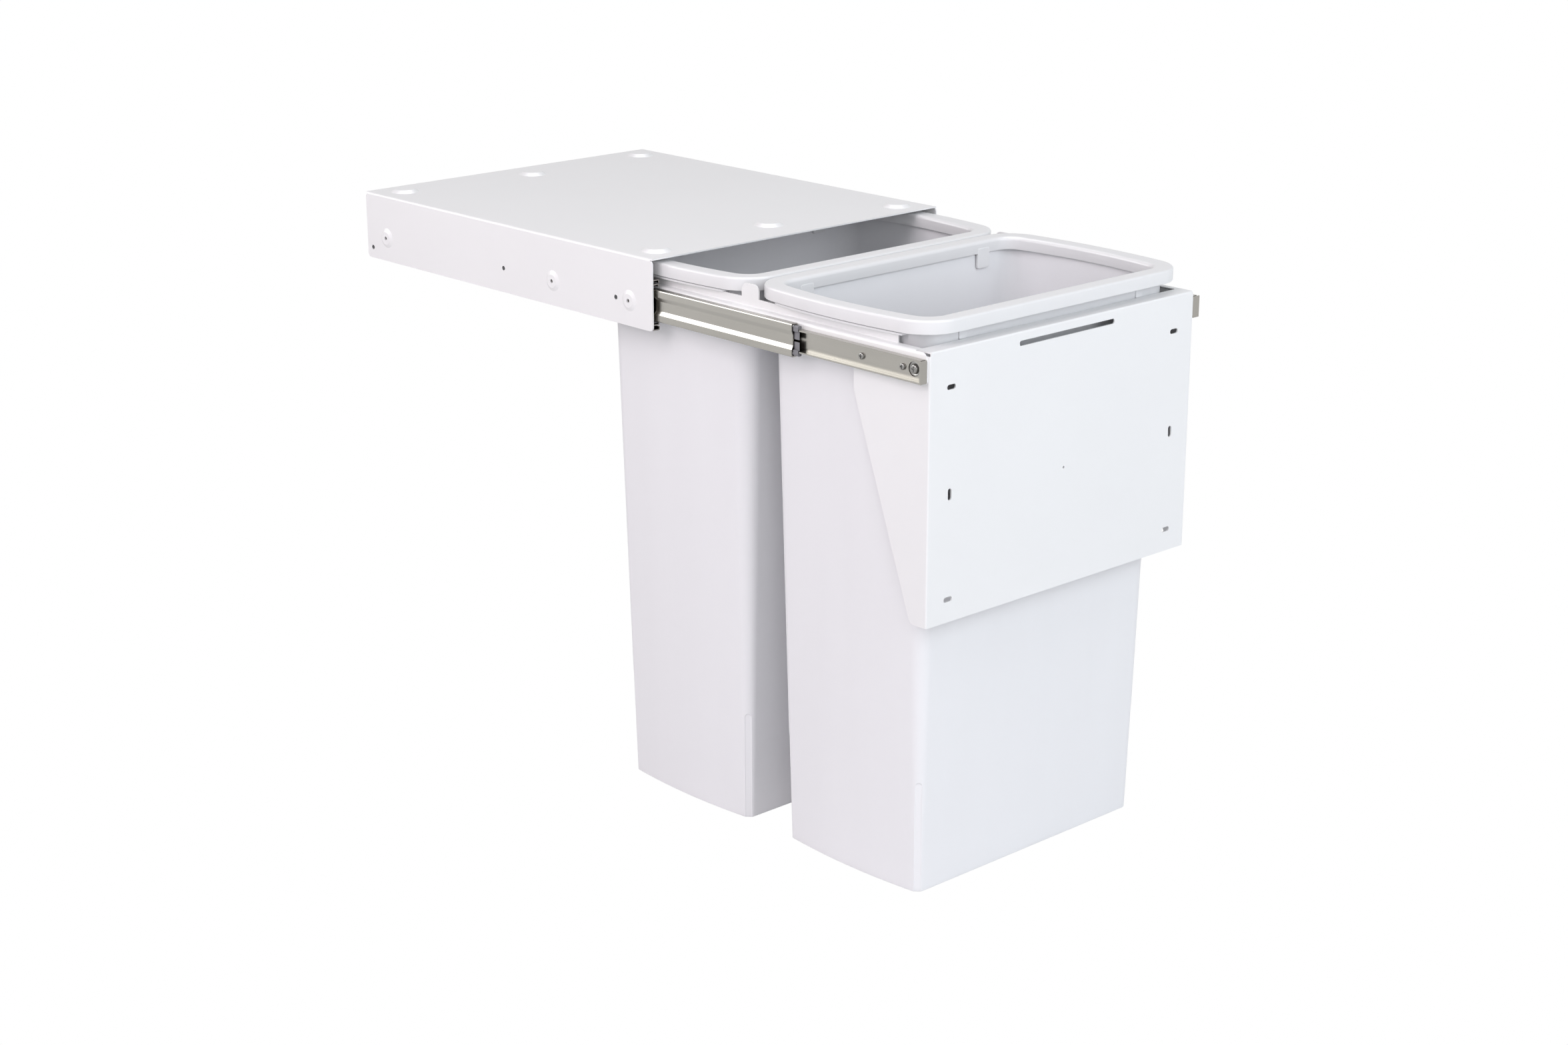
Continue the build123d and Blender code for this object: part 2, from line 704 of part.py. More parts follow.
def make_bin():
    """A tapered bin with a lip along its two bowed sides, drawn about its own centre line."""
    outside = loft([foot_outline(bin_bottom_z, 0), rim_outline(bin_top_z, 0)], ruled=True)
    inside = loft([foot_outline(bin_bottom_z + bin_floor, bin_wall),
                   rim_outline(bin_top_z, bin_wall)], ruled=True)
    lip = extrude(ring_outline(lip_bottom_z, lip_inset), amount=lip_thickness)
    lip &= block((-rail_x - ring_overhang, -lip_half_length, lip_bottom_z),
                 (rail_x + ring_overhang, lip_half_length, lip_top_z))

    # Low ribs on the walls under the ring's clips.
    half_depth = bin_size(0, 0)[1]
    ribs = [block((x - rib_width / 2, low_y, lip_bottom_z - rib_height),
                  (x + rib_width / 2, high_y, lip_top_z))
            for x in (-lug_x, lug_x)
            for low_y, high_y in ((-half_depth - rib_reach, -half_depth + bin_wall / 2),
                                  (half_depth - bin_wall / 2, half_depth + rib_reach))]
    body = outside + lip + ribs - inside
    for side in (-1, 1):
        for end in (-1, 1):
            body -= corner_groove(side, end)
    return body


def make_ring():
    """A ring that clips down over a bin's wall and holds its liner, drawn about the bin's centre line."""
    outside = extrude(ring_outline(ring_bottom_z, 0), amount=ring_height)
    opening = extrude(ring_outline(ring_bottom_z - 1, ring_width), amount=ring_height + 2)
    ring = outside - opening
    top = ring.faces().sort_by(Axis.Z)[-1]
    ring = ring.fillet(ring_outer_round, top.outer_wire().edges())
    top = ring.faces().sort_by(Axis.Z)[-1]
    ring = ring.fillet(ring_inner_round, top.inner_wires()[0].edges())
    groove_height_z = ring_height - ring_top_wall + 1
    hollow = extrude(ring_outline(ring_bottom_z - 1, ring_skirt), amount=groove_height_z)
    hollow -= extrude(ring_outline(ring_bottom_z - 2, ring_width - ring_skirt), amount=groove_height_z + 2)
    ring -= hollow
    inner_face = ring_depth / 2 - ring_width
    for x in (-lug_x, lug_x):
        for side in (-1, 1):
            far = side * (inner_face + tongue_reach)
            near = side * (inner_face + tongue_reach - tongue_thickness)
            low_y, high_y = sorted((near, far))
            ring += block((x - lug_width / 2, low_y, ring_bottom_z - tongue_drop),
                          (x + lug_width / 2, high_y, ring_bottom_z + ring_height / 2))
    return ring


# ---- The pieces ----

export_node(make_housing(), "housing")
export_pair(make_outer_member(), "runner_outer")
export_pair(make_second_member(), "runner_second")
export_pair(make_third_member(), "runner_third")
export_pair(make_inner_member(), "runner_inner")
export_cages()
export_pair(Compound([rivet(y, z) for y, z in rivet_places()]), "housing_rivets")
export_pair(make_carriage_screws(), "carriage_screws")
export_pair(make_side_rail(), "side_rail")
export_node(make_middle_cross_rail(), "cross_rail_middle")
export_node(make_rear_cross_rail(), "cross_rail_rear")
export_node(make_front_panel(), "front_panel")
bin_body = make_bin()
liner_ring = make_ring()
for name, centre_y in (("front", first_bin_y), ("rear", first_bin_y + bin_pitch)):
    export_node(Pos(0, centre_y, 0) * bin_body, "bin_" + name)
    export_node(Pos(0, centre_y, 0) * liner_ring, "liner_ring_" + name)
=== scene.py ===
"""Looks for a twin pull-out waste bin unit: powder-coated sheet steel, zinc-plated runners
and two smooth moulded bins with liner rings, on a plain white floor."""
import json
import math

import bmesh
import bpy
import numpy as np
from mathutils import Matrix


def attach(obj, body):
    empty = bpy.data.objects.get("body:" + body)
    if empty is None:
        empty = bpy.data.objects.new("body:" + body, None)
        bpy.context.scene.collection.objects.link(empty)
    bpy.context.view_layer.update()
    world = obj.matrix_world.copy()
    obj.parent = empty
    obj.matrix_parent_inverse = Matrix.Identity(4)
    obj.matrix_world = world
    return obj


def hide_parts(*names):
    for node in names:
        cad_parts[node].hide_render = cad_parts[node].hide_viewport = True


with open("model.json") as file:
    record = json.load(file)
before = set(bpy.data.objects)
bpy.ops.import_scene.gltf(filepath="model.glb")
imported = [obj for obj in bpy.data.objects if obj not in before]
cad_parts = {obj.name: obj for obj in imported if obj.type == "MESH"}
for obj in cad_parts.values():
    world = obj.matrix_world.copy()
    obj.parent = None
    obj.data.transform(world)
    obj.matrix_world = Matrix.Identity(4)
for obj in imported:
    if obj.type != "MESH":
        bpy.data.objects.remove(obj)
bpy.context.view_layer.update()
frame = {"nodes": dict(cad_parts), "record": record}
MM = 0.001
WELD = 1e-6

# Sizes in millimetres, as in the CAD model.
RAIL_X = 193.0
RUNNER_Z = -48.7
FRONT_SCREW_Y = -614.8
RING_HALF_DEPTH = 123.5
RING_HALF_END = 184.7
RING_BOW = 10.3
RING_CORNER = 40.0
RING_TOP = -5.5
RING_BOTTOM = -19.0
RING_WIDTH = 20.1
# Half the end, bow, half the depth and corner radius of a bin's outline.
BIN_RIM = (175.2, 6.5, 109.7, 24.7)
BIN_FOOT = (160.7, 6.0, 94.7, 9.0)
BIN_TOP = -8.4
BIN_BOTTOM = -600.2
BIN_WALL = 2.4
BIN_FLOOR = 3.0
FOOT_ROUND = 1.8
LIP_TOP = -20.1
LIP_BOTTOM = -22.5
LIP_INSET = 2.6
GROOVE_TOP = BIN_BOTTOM + 116.5
GROOVE_HALF_WIDTH = 3.25
GROOVE_DEPTH = 1.0
GROOVE_EDGE = 0.3
BIN_CENTRES = {"front": -502.9, "rear": -251.1}

# The low bosses on a bin and the clip tongues on a ring stand at the same places across.
LUG_X = 128.0
BOSS_HALF_WIDTH, BOSS_REACH, BOSS_DROP = 5.0, 1.1, 8.5
TONGUE_HALF_WIDTH, TONGUE_HALF_SHEET, TONGUE_GAP = 9.0, 1.5, 1.1
TONGUE_DROP, TONGUE_RISE = 16.0, 6.0

# Points in each stretch of an outline in plan, and the mark of a point that is on no corner.
SIDE_COLUMNS = 9
CORNER_COLUMNS = 48
END_COLUMNS = 9
NO_BEARING = 9.0
DISC_SCALES = (0.02, 0.5, 0.9)


# ---- Mesh building ----

def add_piece(name, points, faces):
    """A mesh object at the origin from an (n, 3) array of points in millimetres and its faces."""
    mesh = bpy.data.meshes.new(name)
    mesh.from_pydata((points * MM).tolist(), [], faces)
    shell = bmesh.new()
    shell.from_mesh(mesh)
    bmesh.ops.remove_doubles(shell, verts=shell.verts, dist=WELD)
    bmesh.ops.recalc_face_normals(shell, faces=shell.faces)
    shell.to_mesh(mesh)
    shell.free()
    mesh.shade_smooth()
    piece = bpy.data.objects.new(name, mesh)
    bpy.context.scene.collection.objects.link(piece)
    return piece


def grid_faces(rows, columns, wrap_rows=False):
    """Quads over a grid of points whose columns close into a loop: (i, j) joins (i+1, j+1)."""
    last = rows if wrap_rows else rows - 1
    i, j = np.meshgrid(np.arange(last), np.arange(columns), indexing="ij")
    below = ((i + 1) % rows) * columns
    right = (j + 1) % columns
    quads = np.stack([i * columns + j, i * columns + right, below + right, below + j], axis=-1)
    return quads.reshape(-1, 4).tolist()


def bowed_loops(half_end, bow, half_depth, corner):
    """Rectangles in plan with rounded corners and two bowed sides, one loop for each level.

    The bowed side is an arc of radius R = (h^2 + b^2) / 2b about (e + b - R, 0).  The corner arc
    of radius r touches it and the straight side y = h.  Each level gives the same number of
    points.  The third result is a corner point's bearing from its arc's centre, and NO_BEARING
    elsewhere.
    """
    e, b, h, r = (np.asarray(v, float)[:, None] for v in (half_end, bow, half_depth, corner))
    big = (h ** 2 + b ** 2) / (2 * b)
    middle_x = e + b - big
    corner_y = h - r
    corner_x = middle_x + np.sqrt((big - r) ** 2 - corner_y ** 2)
    start = np.arctan2(corner_y, corner_x - middle_x)
    side = np.append(np.linspace(0, 0.95, SIDE_COLUMNS - 1), 0.99)[None, :] * start
    turn = start + np.linspace(0, 1, CORNER_COLUMNS + 1)[None, :-1] * (math.pi / 2 - start)
    along = 1 - np.linspace(0, 1, END_COLUMNS)[None, :]
    x = np.concatenate([middle_x + big * np.cos(side), corner_x + r * np.cos(turn), corner_x * along], 1)
    y = np.concatenate([big * np.sin(side), corner_y + r * np.sin(turn), h + 0 * along], 1)
    none = np.full(x.shape, NO_BEARING)
    none[:, SIDE_COLUMNS:SIDE_COLUMNS + CORNER_COLUMNS] = turn
    back = slice(-2, None, -1)
    half_x = np.concatenate([x, -x[:, back]], 1)
    half_y = np.concatenate([y, y[:, back]], 1)
    bearing = np.concatenate([none, none[:, back]], 1)
    loop_x = np.concatenate([half_x, half_x[:, -2:0:-1]], 1)
    loop_y = np.concatenate([half_y, -half_y[:, -2:0:-1]], 1)
    return loop_x, loop_y, np.concatenate([bearing, bearing[:, -2:0:-1]], 1)


def rounded_block(name, low, high, power=0.22):
    """A block with soft edges: each axis is sign(c) |c|^power of a sphere's coordinates c."""
    rows, columns = 21, 40
    u, v = np.meshgrid(np.linspace(0, 2 * math.pi, columns, endpoint=False),
                       np.linspace(-math.pi / 2, math.pi / 2, rows), indexing="xy")

    def soften(c):
        return np.sign(c) * np.abs(c) ** power

    ball = np.stack([soften(np.cos(v)) * soften(np.cos(u)), soften(np.cos(v)) * soften(np.sin(u)),
                     soften(np.sin(v))], axis=-1)
    low, high = np.asarray(low, float), np.asarray(high, float)
    points = (low + high) / 2 + ball * (high - low) / 2
    return add_piece(name, points.reshape(-1, 3), grid_faces(rows, columns))


# ---- Bins ----

def bin_levels():
    """The bin's profile from under its floor, up the outside, over the lip and rim, and down inside.

    Each row is (z, how far drawn in, whether it is on the lip, scale about the bin's middle).
    """
    def quarter(z, inset, radius, first, last, lip=0):
        angles = np.linspace(first, last, 5)
        return [(z + radius * math.sin(a), inset - radius * math.cos(a), lip, 1.0) for a in angles]

    def wall(heights, inset):
        return [(BIN_BOTTOM + height, inset, 0, 1.0) for height in heights]

    half = math.pi / 2
    rim_round, lip_round, inner_round = 0.6, 0.5, 6.0
    floor_lift, floor_inset, foot_inset = 1.2, 6.0, 5.0
    rows = [(BIN_BOTTOM + floor_lift, floor_inset, 0, k) for k in (*DISC_SCALES, 1.0)]
    rows += [(BIN_BOTTOM, foot_inset, 0, 1.0)]
    rows += quarter(BIN_BOTTOM + FOOT_ROUND, FOOT_ROUND, FOOT_ROUND, -half, 0)
    # The levels lie close together only where the grooves end.
    rows += wall(np.linspace(6, 110, 14), 0.0)
    rows += wall(np.linspace(112, 121, 31), 0.0)
    rows += wall(np.linspace(128, 570, 24), 0.0) + [(LIP_BOTTOM, 0.0, 0, 1.0)]
    rows += quarter(LIP_BOTTOM + lip_round, LIP_INSET + lip_round, lip_round, -half, 0, 1)
    rows += quarter(LIP_TOP - lip_round, LIP_INSET + lip_round, lip_round, 0, half, 1)
    rows += [(LIP_TOP, 0.0, 0, 1.0)]
    rows += quarter(BIN_TOP - rim_round, rim_round, rim_round, 0, half)
    rows += quarter(BIN_TOP - rim_round, BIN_WALL - rim_round, -rim_round, -half, 0)
    rows += wall(np.linspace(560, 12, 24), BIN_WALL)
    rows += [(BIN_BOTTOM + BIN_FLOOR + inner_round * (1 - math.sin(a)),
              BIN_WALL + inner_round * (1 - math.cos(a)), 0, 1.0) for a in np.linspace(0.2, half, 6)]
    rows += [(BIN_BOTTOM + BIN_FLOOR, BIN_WALL + inner_round, 0, k) for k in reversed(DISC_SCALES)]
    return rows


def make_bin_shell(name, centre_y):
    """A tapered, bowed shell: every level is the foot's outline blended to the rim's by its height.

    On the lip's levels the two bowed sides step out to the lip's own outline.  Each corner has a
    flat-bottomed groove of depth d: a point at a bearing t from the diagonal of a corner of radius
    r moves in by d - r (1 - cos t).
    """
    rows = bin_levels()
    z, inset, on_lip, scale = np.array(rows, float).T
    up = np.clip((z - BIN_BOTTOM) / (BIN_TOP - BIN_BOTTOM), 0, 1)
    size = [foot + (rim - foot) * up for foot, rim in zip(BIN_FOOT, BIN_RIM)]
    drawn = np.where(on_lip > 0, 0, inset)
    radius = np.maximum(size[3] - drawn, 1.0)
    x, y, bearing = bowed_loops(size[0] - drawn, size[1], size[2] - drawn, radius)
    x, y = x * scale[:, None], y * scale[:, None]
    steady = np.ones_like(inset)
    lip_x, lip_y, _ = bowed_loops(RING_HALF_END - inset, RING_BOW * steady, RING_HALF_DEPTH - inset,
                                  RING_CORNER - inset)
    around = x.shape[1]
    column = np.arange(around)
    from_axis = np.minimum(column % (around // 2), -column % (around // 2))
    lipped = (on_lip > 0)[:, None] & (from_axis < SIDE_COLUMNS)[None, :]
    x, y = np.where(lipped, lip_x, x), np.where(lipped, lip_y, y)

    # The grooves stand on the foot and end in a round top.
    turn = bearing - math.pi / 4
    above = np.maximum(z[:, None] - GROOVE_TOP, 0)
    distance = np.hypot(radius[:, None] * np.sin(turn), above)
    outside = (inset <= FOOT_ROUND) & (z < LIP_BOTTOM)
    flat = GROOVE_DEPTH - radius[:, None] * (1 - np.cos(turn))
    edge = np.clip((GROOVE_HALF_WIDTH + GROOVE_EDGE / 2 - distance) / GROOVE_EDGE, 0, 1)
    depth = np.where(outside[:, None] & (bearing != NO_BEARING), flat * edge, 0)
    x = x - np.sign(x) * math.sqrt(0.5) * depth
    y = y - np.sign(y) * math.sqrt(0.5) * depth
    points = np.stack([x, y + centre_y, np.broadcast_to(z[:, None], x.shape)], axis=-1)
    faces = grid_faces(len(rows), around)
    faces.append(list(range(around)))
    faces.append(list(range((len(rows) - 1) * around, len(rows) * around)))
    return add_piece(name, points.reshape(-1, 3), faces)


# ---- Liner rings ----

def make_ring_body(name, centre_y):
    """An upside-down trough carried round the bowed outline: its profile is (drawn in, height)."""
    def arc(inset, z, radius, first, last, steps=8):
        angles = np.linspace(first, last, steps)
        return [(inset - radius * math.cos(a), z + radius * math.sin(a)) for a in angles]

    half, skirt, roof = math.pi / 2, 1.9, 2.6
    outer_round, inner_round, foot_round, skirt_round = 2.4, 4.0, 0.5, 0.4
    profile = arc(foot_round, RING_BOTTOM + foot_round, foot_round, -half, 0, 4)
    profile += arc(outer_round, RING_TOP - outer_round, outer_round, 0, half, 9)
    profile += arc(RING_WIDTH - inner_round, RING_TOP - inner_round, inner_round, half, math.pi, 12)
    profile += arc(RING_WIDTH - foot_round, RING_BOTTOM + foot_round, foot_round, math.pi, 3 * half, 4)
    profile += arc(RING_WIDTH - skirt + skirt_round, RING_BOTTOM + skirt_round, skirt_round, -half, 0, 3)
    profile += [(RING_WIDTH - skirt, RING_TOP - roof), (skirt, RING_TOP - roof)]
    profile += arc(skirt - skirt_round, RING_BOTTOM + skirt_round, skirt_round, math.pi, 3 * half, 3)
    inset, z = np.array(profile).T
    steady = np.ones_like(inset)
    x, y, _ = bowed_loops(RING_HALF_END - inset, RING_BOW * steady, RING_HALF_DEPTH - inset,
                          RING_CORNER - inset)
    points = np.stack([x, y + centre_y, np.broadcast_to(z[:, None], x.shape)], axis=-1)
    return add_piece(name, points.reshape(-1, 3), grid_faces(x.shape[0], x.shape[1], wrap_rows=True))


def make_washer(name, side):
    """A dished washer round a front screw's head: a profile (radius, height) turned about the screw."""
    inner, outer, height, columns = 4.6, 7.0, 0.7, 48
    lift, edge, land, dish = 0.05, 0.2, 1.2, 0.35
    profile = [(inner, lift), (outer - edge, lift), (outer, edge), (outer, height - edge),
               (outer - edge, height), (outer - land, height), (inner, height - dish)]
    radius, up = np.array(profile).T
    turn = np.linspace(0, 2 * math.pi, columns, endpoint=False)
    y = FRONT_SCREW_Y + radius[:, None] * np.cos(turn)
    z = RUNNER_Z + radius[:, None] * np.sin(turn)
    x = np.broadcast_to(side * (RAIL_X + up[:, None]), y.shape)
    points = np.stack([x, y, z], axis=-1)
    return add_piece(name, points.reshape(-1, 3), grid_faces(len(profile), columns, wrap_rows=True))


def four_lugs(name, half_width, centre_y, from_centre, half_sheet, bottom, top):
    """Four soft-edged blocks, two at each straight side of an outline."""
    return [rounded_block("%s_%d_%d" % (name, side, end),
                          (side * LUG_X - half_width, centre_y + end * from_centre - half_sheet, bottom),
                          (side * LUG_X + half_width, centre_y + end * from_centre + half_sheet, top))
            for side in (-1, 1) for end in (-1, 1)]


def join_pieces(pieces):
    """The pieces as one mesh object, which keeps the first one's name."""
    with bpy.context.temp_override(active_object=pieces[0], selected_editable_objects=pieces):
        bpy.ops.object.join()
    return pieces[0]


# ---- Pressed and rolled steel ----

SOFT, SHARP = 20, 38


def finish_steel(node):
    """A copy of a CAD node with its seams welded, smooth bends and sharp lines.

    A line is sharp where its faces meet at more than SHARP degrees, or at SOFT to SHARP degrees
    where one of them is square to an axis, as round a pressed pad.
    """
    mesh = frame["nodes"][node].data.copy()
    mesh.name = "finished_" + node
    shell = bmesh.new()
    shell.from_mesh(mesh)
    bmesh.ops.remove_doubles(shell, verts=shell.verts, dist=2 * WELD)
    for face in shell.faces:
        face.smooth = True
    for line in shell.edges:
        if len(line.link_faces) != 2:
            continue
        turn = math.degrees(line.calc_face_angle(0))
        square = any(max(abs(part) for part in face.normal) > 0.99999 for face in line.link_faces)
        line.smooth = turn < SOFT or (turn < SHARP and not square)
    shell.to_mesh(mesh)
    shell.free()
    mesh.materials.clear()
    piece = bpy.data.objects.new("finished_" + node, mesh)
    bpy.context.scene.collection.objects.link(piece)
    weighted = piece.modifiers.new("flat_faces", "WEIGHTED_NORMAL")
    weighted.keep_sharp = True
    return piece


# ---- Materials ----

class Field:
    """A value that a shader works out.  Arithmetic on it adds Math nodes to its tree."""

    def __init__(self, surface, socket):
        self.surface, self.socket = surface, socket

    def _math(self, operation, first, second):
        return self.surface.node("ShaderNodeMath", {"operation": operation}, {0: first, 1: second})

    def __add__(self, other):
        return self._math("ADD", self, other)

    def __radd__(self, other):
        return self._math("ADD", other, self)

    def __mul__(self, other):
        return self._math("MULTIPLY", self, other)

    def __rmul__(self, other):
        return self._math("MULTIPLY", other, self)


class Surface:
    """The shader of a material or the world.  node() adds any node and gives one of its outputs."""

    def __init__(self, owner):
        owner.use_nodes = True
        self.owner, self.tree = owner, owner.node_tree

    def feed(self, socket, value):
        """Links a Field to a socket, or sets the socket to a plain value."""
        if isinstance(value, Field):
            self.tree.links.new(value.socket, socket)
        else:
            socket.default_value = value

    def node(self, kind, settings=None, inputs=None, output=0):
        made = self.tree.nodes.new(kind)
        for name, value in (settings or {}).items():
            setattr(made, name, value)
        for name, value in (inputs or {}).items():
            self.feed(made.inputs[name], value)
        return Field(self, made.outputs[output])

    def place(self, scale):
        """Object coordinates times a scale for each axis."""
        coordinates = self.node("ShaderNodeTexCoord", output="Object")
        return self.node("ShaderNodeVectorMath", {"operation": "MULTIPLY"}, {0: coordinates, 1: scale})

    def noise(self, scale, detail=3.0, roughness=0.5):
        """Smooth noise from 0 to 1 whose grain is 1 / scale metres along each axis."""
        return self.node("ShaderNodeTexNoise", {}, {"Vector": self.place(scale), "Scale": 1.0,
                                                    "Detail": detail, "Roughness": roughness})

    def tint(self, amount, light, dark):
        """A colour between two, by a factor."""
        return self.node("ShaderNodeMix", {"data_type": "RGBA"}, {0: amount, 6: dark, 7: light}, 2)

    def finish(self, colour, roughness, height=None, depth=0.0, **steady):
        """Feeds the material's shader.  height times depth, in metres, is the relief."""
        inputs = self.tree.nodes["Principled BSDF"].inputs
        self.feed(inputs["Base Color"], colour)
        self.feed(inputs["Roughness"], roughness)
        for name, value in steady.items():
            self.feed(inputs[name.replace("_", " ")], value)
        if height is not None:
            relief = self.node("ShaderNodeBump", {}, {"Strength": 1.0, "Distance": depth, "Height": height})
            self.feed(inputs["Normal"], relief)
        return self.owner


def new_surface(name):
    """The shader of a new material."""
    return Surface(bpy.data.materials.new(name))


def powder_coat():
    """White powder coat: a faint orange peel a millimetre across, and hardly any drift in tone."""
    surface = new_surface("white_powder_coat")
    peel = surface.noise((850, 850, 850), 2.0)
    drift = surface.noise((6, 6, 6), 2.0)
    colour = surface.tint(drift, (0.868, 0.868, 0.874, 1), (0.838, 0.838, 0.845, 1))
    return surface.finish(colour, 0.36 + 0.08 * drift, peel, 0.000022, Coat_Weight=0.08)


def zinc_plate():
    """Zinc-plated strip: rolling marks drawn out along the length, with soft clouds of tone."""
    surface = new_surface("zinc_plate")
    marks = surface.noise((2600, 22, 2600), 3.0, 0.6)
    clouds = surface.noise((45, 9, 45), 3.0)
    colour = surface.tint(0.5 * marks + 0.5 * clouds, (0.41, 0.395, 0.365, 1), (0.345, 0.333, 0.308, 1))
    return surface.finish(colour, 0.2 + 0.06 * marks + 0.04 * clouds, marks, 0.000002, Metallic=1.0)


def fastener_zinc(name, light, dark):
    """Darker zinc plate with a fine grain, on screws and washers, and darkest on the rivets, where the
    near-black is painted shade.
    """
    surface = new_surface(name)
    grain = surface.noise((1500, 1500, 1500), 3.0)
    colour = surface.tint(grain, light, dark)
    return surface.finish(colour, 0.22 + 0.16 * grain, grain, 0.00001, Metallic=1.0)


def ball_steel():
    """Polished balls with a thin film of grease."""
    surface = new_surface("ball_steel")
    film = surface.noise((400, 400, 400), 2.0)
    colour = surface.tint(film, (0.7, 0.7, 0.7, 1), (0.58, 0.57, 0.55, 1))
    return surface.finish(colour, 0.06 + 0.12 * film, Metallic=1.0)


def cage_plastic():
    """Dark grey moulded cage with a dry, slightly mottled skin."""
    surface = new_surface("cage_plastic")
    skin = surface.noise((700, 700, 700), 3.0)
    colour = surface.tint(skin, (0.21, 0.208, 0.225, 1), (0.15, 0.149, 0.162, 1))
    return surface.finish(colour, 0.42 + 0.16 * skin, skin, 0.00003)


def moulded_plastic(name, light, dark, gloss):
    """Smooth moulded plastic: slow drift in tone, faint upright flow marks and a fine satin skin."""
    surface = new_surface(name)
    flow = surface.noise((28, 28, 3), 2.0)
    skin = surface.noise((1400, 1400, 1400), 2.0)
    colour = surface.tint(flow, light, dark)
    height = 0.75 * flow + 0.25 * skin
    return surface.finish(colour, gloss + 0.07 * flow, height, 0.00003, Coat_Weight=0.04)


white = powder_coat()
zinc = zinc_plate()
screw = fastener_zinc("screw_zinc", (0.34, 0.335, 0.325, 1), (0.17, 0.167, 0.163, 1))
# The rivets' near-black zinc is painted shade: it darkens the rivet heads to stand in for the shadow in and
# round them.
painted_shade_rivet = fastener_zinc("rivet_zinc_painted_shade", (0.11, 0.11, 0.115, 1), (0.03, 0.03, 0.032, 1))
chrome = ball_steel()
cage = cage_plastic()
bin_skin = moulded_plastic("bin_plastic", (0.85, 0.85, 0.87, 1), (0.826, 0.826, 0.846, 1), 0.42)
ring_skin = moulded_plastic("ring_plastic", (0.815, 0.815, 0.825, 1), (0.79, 0.79, 0.8, 1), 0.3)


# ---- Dress the frame ----

def dress(piece, material, body, slot, *nodes):
    """Gives a piece its material and its body, and shows it in place of its CAD nodes. The slot argument is
    not used.
    """
    piece.data.materials.clear()
    piece.data.materials.append(material)
    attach(piece, body)
    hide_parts(*nodes)


node_body = {node: body for body, nodes in frame["record"]["behaviour"]["bodies"].items() for node in nodes}
steel = ["housing", "front_panel", "side_rail_left", "side_rail_right", "cross_rail_middle",
         "cross_rail_rear"]
rolled = ["runner_%s_%s" % (member, side) for member in ("outer", "second", "third", "inner")
          for side in ("left", "right")]
for node in steel:
    dress(finish_steel(node), white, node_body[node], "white_steel", node)
for node in rolled:
    dress(finish_steel(node), zinc, node_body[node], "zinc_steel", node)
for side in ("left", "right"):
    for member in ("outer", "middle", "inner"):
        node = "cage_%s_%s" % (member, side)
        dress(finish_steel(node), cage, node_body[node], "grey_cage", node)
        node = "balls_%s_%s" % (member, side)
        dress(finish_steel(node), chrome, node_body[node], "ball_steel", node)
    rivets, screws = "housing_rivets_" + side, "carriage_screws_" + side
    # The rivets get the near-black zinc, which is painted shade.
    dress(finish_steel(rivets), painted_shade_rivet, node_body[rivets], "screw_steel", rivets)
    washer = make_washer("washer_" + side, -1 if side == "left" else 1)
    dress(join_pieces([finish_steel(screws), washer]), screw, node_body[screws], "screw_steel", screws)

for place, centre_y in BIN_CENTRES.items():
    shell = make_bin_shell("moulded_bin_" + place, centre_y)
    bosses = four_lugs("rib_" + place, BOSS_HALF_WIDTH, centre_y, BIN_RIM[2], BOSS_REACH,
                       LIP_BOTTOM - BOSS_DROP, LIP_TOP)
    dress(join_pieces([shell] + bosses), bin_skin, "carriage", "bin_plastic", "bin_" + place)
    ring = make_ring_body("moulded_ring_" + place, centre_y)
    tongues = four_lugs("tongue_" + place, TONGUE_HALF_WIDTH, centre_y,
                        RING_HALF_DEPTH - RING_WIDTH + TONGUE_GAP, TONGUE_HALF_SHEET,
                        RING_BOTTOM - TONGUE_DROP, RING_BOTTOM + TONGUE_RISE)
    dress(join_pieces([ring] + tongues), ring_skin, "carriage", "ring_plastic", "liner_ring_" + place)


# ---- Floor, light and camera ----

# The photograph's view, solved from its straight edges: place in metres, turns in degrees.
CAMERA_PLACE = (-1.94304, -2.32548, 0.57879)
CAMERA_DOWN, CAMERA_ROLL, CAMERA_BEARING = 17.6397, 0.0249, -42.8022
CAMERA_LENS, CAMERA_SENSOR = 62.275, 36.0

LAMP_AIM = np.array([0, -0.25, -0.25])
SOFT_LIGHT = 0.35
# Name, direction from the unit, distance and size in metres, power in watts, colour, only in shine.
LAMPS = [
    ("left_lamp", (-0.86, 0.0, 0.56), 4.0, 2.6, 59, (1.0, 0.9, 0.945), False),
    ("high_lamp", (-0.6, -0.3, 0.85), 4.0, 2.0, 22, (0.97, 0.97, 1.0), False),
    ("front_lamp", (0.12, -0.88, 0.46), 4.0, 2.6, 69, (0.885, 0.95, 1.0), False),
    ("fill_lamp", (-0.62, -0.74, 0.28), 4.0, 1.6, 17, (0.97, 0.98, 1.0), False),
    ("overhead_lamp", (0.03, 0.12, 0.99), 2.6, 2.2, 75, (1.0, 1.0, 1.0), True),
    ("band_lamp", (-0.45, 0.72, 0.5), 2.6, 1.2, 15, (1.0, 1.0, 1.0), True),
    ("rear_lamp", (-0.7, 0.7, 0.27), 3.0, 1.6, 32, (1.0, 1.0, 1.0), True),
]


def shown(surface):
    """1 for camera, glossy and transmission rays, and 0 for all others."""
    camera, glossy, through = (surface.node("ShaderNodeLightPath", output=name)
                               for name in ("Is Camera Ray", "Is Glossy Ray", "Is Transmission Ray"))
    either = surface.node("ShaderNodeMath", {"operation": "MAXIMUM"}, {0: camera, 1: glossy})
    return surface.node("ShaderNodeMath", {"operation": "MAXIMUM"}, {0: either, 1: through})


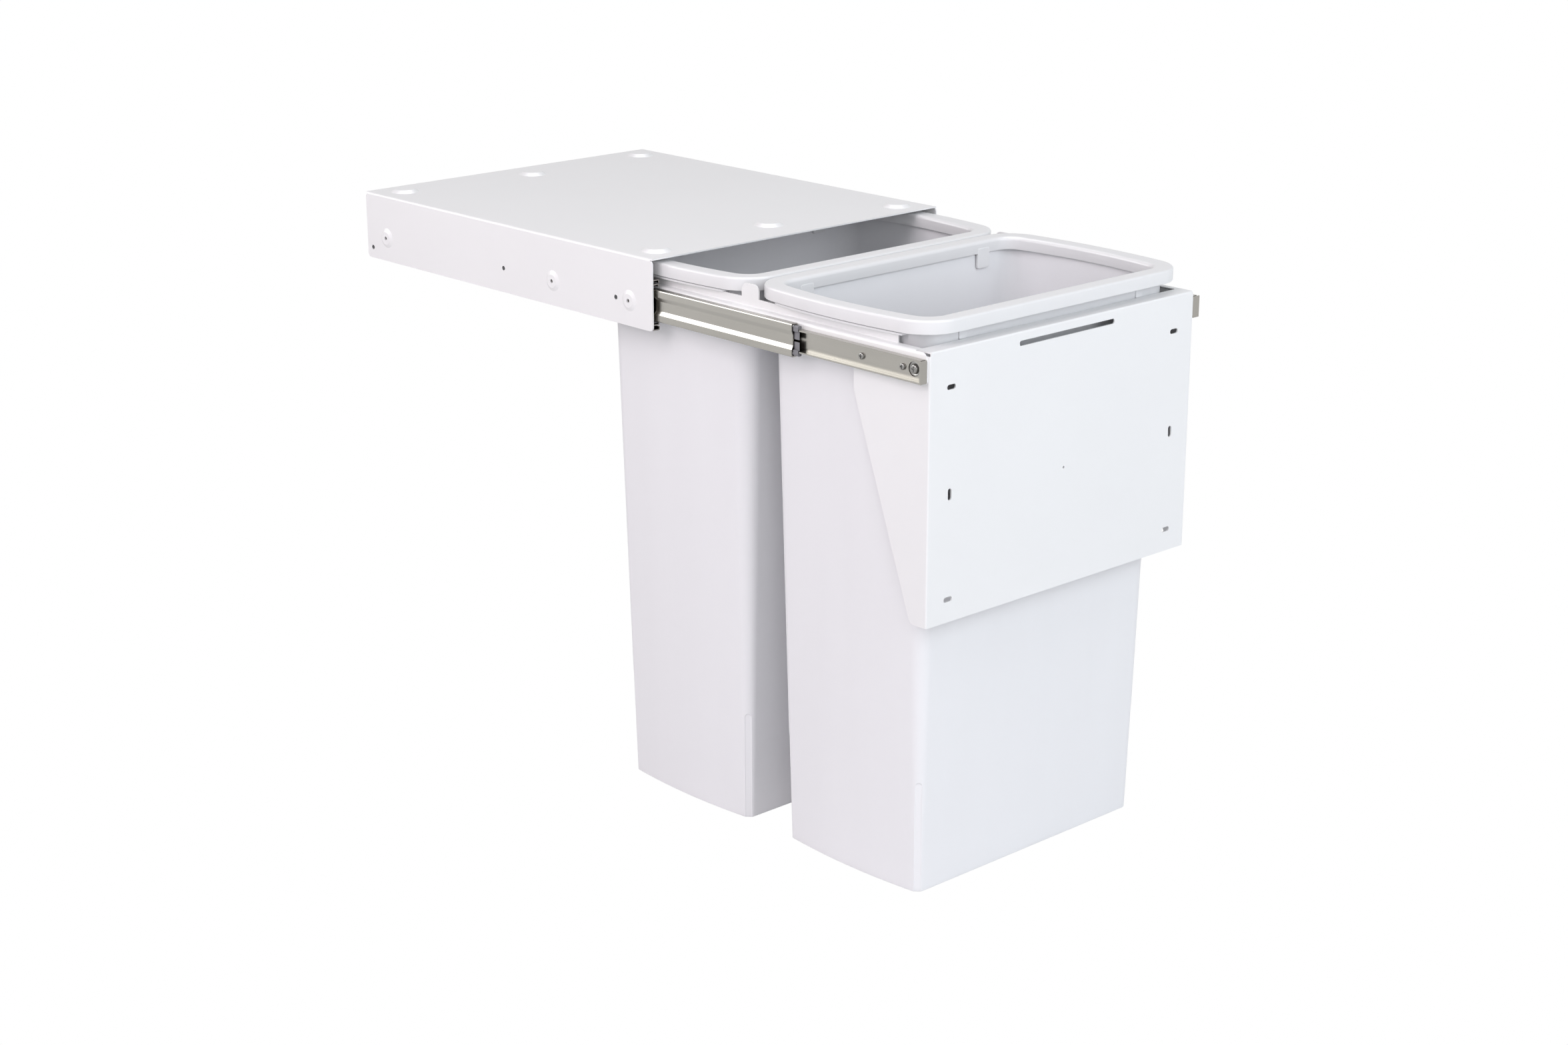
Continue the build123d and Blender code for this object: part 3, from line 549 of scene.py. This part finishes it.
def make_floor():
    """A wide white floor just under the bins that shows as plain white."""
    size, gap = 9.0, 0.0005
    level = BIN_BOTTOM * MM - gap
    mesh = bpy.data.meshes.new("floor")
    corners = [(-size, -size, level), (size, -size, level), (size, size, level), (-size, size, level)]
    mesh.from_pydata(corners, [], [(0, 1, 2, 3)])
    floor = bpy.data.objects.new("floor", mesh)
    bpy.context.scene.collection.objects.link(floor)
    surface = new_surface("white_floor")
    mesh.materials.append(surface.finish((0.72, 0.72, 0.73, 1), 0.9))
    matt = Field(surface, surface.tree.nodes["Principled BSDF"].outputs[0])
    glow = surface.node("ShaderNodeEmission")
    mixed = surface.node("ShaderNodeMixShader", {}, {0: shown(surface), 1: matt, 2: glow})
    surface.feed(surface.tree.nodes["Material Output"].inputs["Surface"], mixed)


def make_world():
    """White to the camera and in reflections, and an even soft light on everything else."""
    world = bpy.data.worlds.new("studio")
    bpy.context.scene.world = world
    surface = Surface(world)
    background = surface.tree.nodes["Background"].inputs
    background["Color"].default_value = (1, 1, 1, 1)
    surface.feed(background["Strength"], shown(surface) * (1 - SOFT_LIGHT) + SOFT_LIGHT)


def make_lamp(name, towards, distance, size, power, colour, only_shine):
    """A square soft lamp that looks at the middle of the unit from a direction.

    One that is only_shine is seen in glossy surfaces, and lights nothing otherwise.
    """
    data = bpy.data.lights.new(name, "AREA")
    data.shape = "SQUARE"
    data.size = size
    data.energy = power
    data.color = colour
    lamp = bpy.data.objects.new(name, data)
    bpy.context.scene.collection.objects.link(lamp)
    away = np.array(towards, float)
    away /= np.linalg.norm(away)
    lamp.location = LAMP_AIM + away * distance
    lamp.rotation_euler = (math.acos(away[2]), 0, math.atan2(away[0], -away[1]))
    lamp.visible_camera = False
    lamp.visible_diffuse = not only_shine


def make_camera():
    """The photograph's own view of the unit."""
    data = bpy.data.cameras.new("camera")
    data.sensor_width = CAMERA_SENSOR
    data.lens = CAMERA_LENS
    data.clip_end = 60
    camera = bpy.data.objects.new("camera", data)
    camera.location = CAMERA_PLACE
    camera.rotation_euler = [math.radians(turn) for turn in (90 - CAMERA_DOWN, CAMERA_ROLL, CAMERA_BEARING)]
    bpy.context.scene.collection.objects.link(camera)
    bpy.context.scene.camera = camera


make_floor()
make_world()
for lamp in LAMPS:
    make_lamp(*lamp)
make_camera()
bpy.context.scene.view_settings.view_transform = "Standard"
